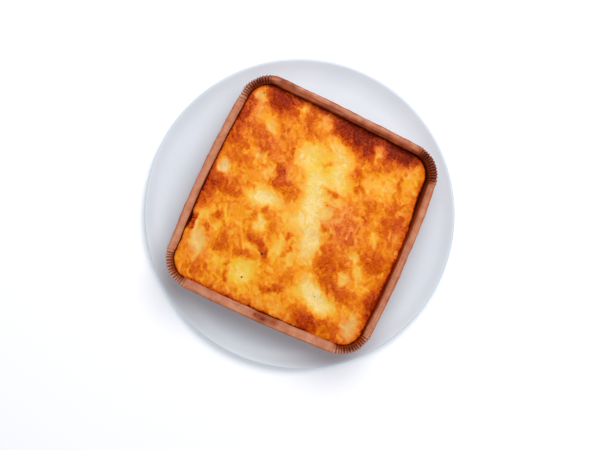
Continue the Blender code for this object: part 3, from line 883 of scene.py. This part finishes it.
def layCheese():
    # Browning from the placed patches and along the sides, seen through a warp that frays their edges; along
    # the top and right sides it includes painted shade from the walls' shadow. Over it lie scorched spots and
    # pale islands drawn out along the flow, bright strands where a stretched noise crosses zero, finer curls
    # made in the same way, whose lighter lines and darker hollows are partly painted highlight and shade,
    # shreds and blisters; all fade where the cheese has melted smooth. The shades are then spread by their
    # share, made crisper and spread again.
    x, y = makeCanvas()
    wideX, wideY = gradientNoise(x, y, 11, 41), gradientNoise(x, y, 11, 43)
    warpX = 2.0 * wideX + 2.0 * gradientNoise(x, y, 5, 42) + 0.7 * gradientNoise(x, y, 2.4, 52)
    warpY = 2.0 * wideY + 2.0 * gradientNoise(x, y, 5, 44) + 0.7 * gradientNoise(x, y, 2.4, 53)
    placed, _ = sumOfBumps(x + warpX, y + warpY, browned + pools, 1.5)
    _, form = sumOfBumps(x, y, browned + pools, 1.0)
    edge = cheese["half"] - 0.5
    fromSides = (edge - x, edge - y, edge + x, edge + 1 + y)
    # painted shade of the walls' shadow, laid in with the browned edges
    for (strength, width), off in zip(sideShadeAndBrowning, fromSides):
        placed += strength * np.exp(-np.clip(off + warpX, 0, None) / width)
    placed = 0.5 * np.tanh(placed / 0.5)
    melted = smoothStep(-placed, 0.06, 0.3)
    crisp = smoothStep(placed, -0.1, 0.25)
    lead = math.radians(cheese["flow"])
    flow = lead + 1.2 * gradientNoise(x, y, 34, 45) + 1.9 * gradientNoise(x, y, 12, 46)
    streaks = drawOut(soften(np.random.default_rng(9).normal(0, 1, x.shape), 3), flow)
    frayedX, frayedY = x + 2.6 * wideX + 0.4 * warpX, y + 2.6 * wideY + 0.4 * warpY
    along = (frayedX * math.cos(lead) + frayedY * math.sin(lead)) / 1.5
    across = frayedY * math.cos(lead) - frayedX * math.sin(lead)
    scorched = smoothStep(gradientNoise(along, across, 3.8, 55), 0.05, 0.32)
    islands = smoothStep(gradientNoise(along, across, 4.2, 58), 0.1, 0.35)
    strands = np.exp(-(gradientNoise(along, across, 3.6, 47) / 0.11)**2)
    curls = np.abs(gradientNoise(x + 0.5 * warpX, y + 0.5 * warpY, 1.7, 59)) - 0.18
    clouds = roughNoise(x + warpX, y + warpY, 9, 48)
    pile, shade = layShreds(frayedX, frayedY, flow)
    domes, toast = raiseBlisters(x, y, cheese["blisters"], (1.5, 3.6), 8)
    beads, beadToast = raiseBlisters(x, y, cheese["bubbles"], (0.6, 1.4), 12)
    detail = 0.012 * streaks + 0.06 * clouds + 0.07 * shade + 0.13 * toast + 0.12 * scorched - 0.13 * islands
    # curls: lighter lines and darker hollows, partly the crust's colour, partly painted highlight and shade
    detail += 0.13 * crisp * beadToast - 0.04 * strands + 0.32 * (0.25 + crisp) * curls
    detail = np.where(detail > 0, 0.14 * np.tanh(detail / 0.14), detail) * (1 - 0.6 * melted)
    inside = np.maximum(np.abs(x), np.abs(y)) < edge - 0.5
    browning = shareOf(1.1 * placed + detail, inside)
    browning = shareOf(browning + 0.7 * (browning - soften(browning, 30)) + 0.5 * placed, inside)
    redder, _ = sumOfBumps(x + warpX, y + warpY, rosyPlaces, 1.2)
    rosy = np.clip(redder + 0.6 * gradientNoise(x, y, 6, 62) + 0.2 * shade, 0, 1)
    yellower, _ = sumOfBumps(x + warpX, y + warpY, butteryPlaces, 1.2)
    buttery = np.clip(yellower + 0.9 * gradientNoise(x, y, 8, 63) + 0.2 * shade - rosy, 0, 1)
    relief = form + 0.3 * clouds + 0.03 * streaks * (1 - melted) + 0.2 * scorched - 0.15 * islands
    relief += 0.25 * (soften(pile, 2) - 0.3) * (0.15 + 0.85 * crisp)
    bubbled = (0.4 * domes + 0.12 * beads * crisp) * (1 - 0.8 * melted)
    relief += bubbled + (0.12 * strands - 0.3 * curls) * crisp
    return browning, rosy, buttery, relief


def foodEdge(place, height, drawsIn):
    # Place runs from 0 to 4, anticlockwise from the first corner's middle, evenly along each quarter of the
    # outline. At its top the food draws in from the wall, more in some places than in others.
    steps = 500  # for each quarter
    station = np.linspace(0.5, 8.5, 4 * steps + 1)
    share = wallShare(height)
    inside = wallInside(height) - 0.3 * tray["paper"] + cheese["gap"]
    x, y, _, _ = trayOutline(station, inside, share, -tray["pleatDepth"] / 2 * share)
    if drawsIn:
        drawn = np.clip(roughNoise(x, y, 7, 71), 0, 0.5) * 0.9
        for cx, cy, reach, depth in shrunkEdges:
            drawn += depth * np.exp(-squareFrom(x, y, cx, cy) / reach**2)
        offX, offY = x - middleX, y - middleY
        far = np.hypot(offX, offY)
        x, y = x - offX / far * drawn, y - offY / far * drawn
    length = np.concatenate(([0], np.cumsum(np.hypot(np.diff(x), np.diff(y)))))
    at = np.interp(place % 4, np.arange(5), length[::steps])
    return np.interp(at, length, x), np.interp(at, length, y)


def squarePlace(u, v):
    # Which place of the outline the ray through u, v of the square meets, from the upper right corner round
    reach = np.maximum(np.maximum(np.abs(u), np.abs(v)), 1e-9)
    a, b = u / reach, v / reach
    conditions = (b >= np.abs(a), a <= -np.abs(b), b <= -np.abs(a))
    choices = ((1 - a) / 2, 1 + (1 - b) / 2, 2 + (1 + a) / 2)
    return np.select(conditions, choices, 3 + (1 + b) / 2)


def makeLasagne():
    # A square grid whose outer rows follow the food's outline; its edge rounds over and goes down the wall
    cells = cheese["cells"]
    line = np.linspace(-1, 1, cells + 1)
    u, v = np.meshgrid(line, line)
    reach = np.maximum(np.abs(u), np.abs(v))
    level = rimTop - cheese["depth"]
    edgeX, edgeY = foodEdge(squarePlace(u, v), level - cheese["edgeLowest"], True)
    plainX, plainY = u * cheese["half"], v * cheese["half"]
    x = plainX + ((edgeX - middleX) * reach - plainX) * reach**3
    y = plainY + ((edgeY - middleY) * reach - plainY) * reach**3
    browning, rosy, buttery, relief = (readCanvas(field, x, y) for field in layCheese())
    lean = cheese["slope"][0] * u + cheese["slope"][1] * v
    crown = cheese["crown"] * (1 - u * u) * (1 - v * v)
    room = cheese["depth"] - cheese["headroom"] - crown - lean - relief
    height = rimTop - cheese["headroom"] - (room + np.hypot(room, cheese["headroomEase"])) / 2
    fromEdge = (1 - reach) * cheese["half"]
    rounding = 1 - np.sqrt(np.clip(1 - np.clip(1 - fromEdge / cheese["edgeRound"], 0, 1)**2, 0, 1))
    height -= rounding * (cheese["edgeDrop"] + cheese["edgeDropChange"] * (u + v))
    # painted shade and toasting along the food's very edge, where it meets the wall
    toast = cheese["edgeShadeAndToast"] * np.exp(-fromEdge / cheese["edgeShadeAndToastWidth"])
    browning += toast * (1 + gradientNoise(x, y, 6, 75))
    top = np.stack((x + middleX, y + middleY, height), axis=-1).reshape(-1, 3)
    index = np.arange((cells + 1)**2).reshape(cells + 1, cells + 1)
    ring = np.concatenate((index[-1, ::-1][:-1], index[::-1, 0][:-1], index[0, :-1], index[:-1, -1]))
    place = squarePlace(u, v).ravel()[ring]
    bottom = trayBottom + tray["paper"] + cheese["gap"]
    footRise = tray["baseFillet"] + cheese["gap"]
    rings = []
    for depth, inset in ((level - cheese["shrinkDepth"], 0), (bottom + footRise, 0), (bottom, footRise)):
        ringX, ringY = foodEdge(place, depth, False)
        shrink = 1 - inset / cheese["half"]
        ringX = middleX + (ringX - middleX) * shrink
        ringY = middleY + (ringY - middleY) * shrink
        rings.append(np.column_stack((ringX, ringY, np.full(len(ring), depth))))
    sides = np.concatenate(rings)
    centre = len(top) + len(sides)
    points = np.concatenate((top, sides, [(middleX, middleY, bottom)])) * mm
    chain = np.concatenate((ring, len(top) + np.arange(len(sides)))).reshape(4, -1)
    chain = np.column_stack((chain, chain[:, :1]))
    walls = np.stack((chain[:-1, :-1], chain[1:, :-1], chain[1:, 1:], chain[:-1, 1:]), axis=-1).reshape(-1, 4)
    quads = np.concatenate((gridQuads(cells + 1, cells + 1, False), walls))
    triangles = fanTriangles(chain[-1, :-1][::-1], centre)
    hidden = np.full(len(sides) + 1, 0.8)  # the sides and the bottom are evenly browned
    seen = {"browning": np.clip(browning, 0.02, 1), "rosy": rosy, "buttery": buttery}
    unseen = {"browning": hidden, "rosy": hidden, "buttery": 0 * hidden}
    piece = addPiece(
        "baked_lasagne", points, quads, triangles, bakedCheese(),
        {key: np.append(seen[key], unseen[key]) for key in seen},
    )
    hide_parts("lasagne")
    return top


# The pepper

pepper = {
    "rows": 9,
    "columns": 14,
    "flatness": 0.62,
    "stretch": 1.35,
    "roughness": 0.3,
    "sunk": 0.12,
}


def crackedPepper():
    # Cracked black pepper: dull, nearly black husk with dark brown broken faces
    material, tree, shader = startMaterial("cracked_pepper_husk")
    chips = addNode(tree, "TexNoise", {"Vector": readSurface(tree)[0], "Scale": 1 / 0.0004, "Detail": 2.0})
    colour = addNode(tree, "ValToRGB", {"Fac": chips})
    setStops(colour, [(0.4, "#2a1208"), (0.65, "#5c2a12")])
    bump = addNode(tree, "Bump", {"Height": chips, "Strength": 0.4, "Distance": 0.0001})
    setInputs(tree, shader, {
        "Base Color": colour, "Roughness": 0.6, "Normal": bump, "Specular IOR Level": 0.3,
    })
    return material


def makePepper(top):
    # Each grain is a ball, pushed in and out by noise, flattened, turned at random and sunk a little into the
    # nearest point of the cheese's top
    rng = np.random.default_rng(31)
    rows, columns = pepper["rows"], pepper["columns"]
    tilt = np.linspace(0, np.pi, rows + 2)[1:-1][:, None]
    around = np.linspace(0, 2 * np.pi, columns, endpoint=False)[None, :]
    wide = np.sin(tilt)
    ball = np.stack((wide * np.cos(around), wide * np.sin(around), np.cos(tilt) + 0 * around), axis=-1)
    ball = np.concatenate((ball.reshape(-1, 3), [(0, 0, 1), (0, 0, -1)]))
    quads, caps = closedGrid(rows, columns)
    points, allQuads, allCaps = [], [], []
    for number, (x, y, size) in enumerate(specks):
        dents = gradientNoise(ball[:, 0] * 2 + 7 * number, ball[:, 1] * 2 + ball[:, 2] * 1.3, 1.1, 33)
        rough = 1 + pepper["roughness"] * dents
        grain = ball * rough[:, None] * (pepper["stretch"], 1, pepper["flatness"]) * size / 2
        turn = rng.uniform(0, 2 * np.pi)
        c, s = math.cos(turn), math.sin(turn)
        grainX, grainY, grainZ = grain.T
        spun = np.column_stack((grainX * c - grainY * s, grainX * s + grainY * c, grainZ))
        near = top[np.argmin(squareFrom(top[:, 0], top[:, 1], x, y))]
        points.append(spun + near + (0, 0, size * (pepper["flatness"] / 2 - pepper["sunk"])))
        allQuads.append(quads[:, ::-1] + number * len(ball))
        allCaps.append(caps[:, ::-1] + number * len(ball))
    addPiece(
        "pepper_grains", np.concatenate(points) * mm, np.concatenate(allQuads), np.concatenate(allCaps),
        crackedPepper(), {},
    )


addCamera()
addLights()
addFloor()
print("stage set")
makePlate()
makeTray()
makePepper(makeLasagne())
print("pieces made")
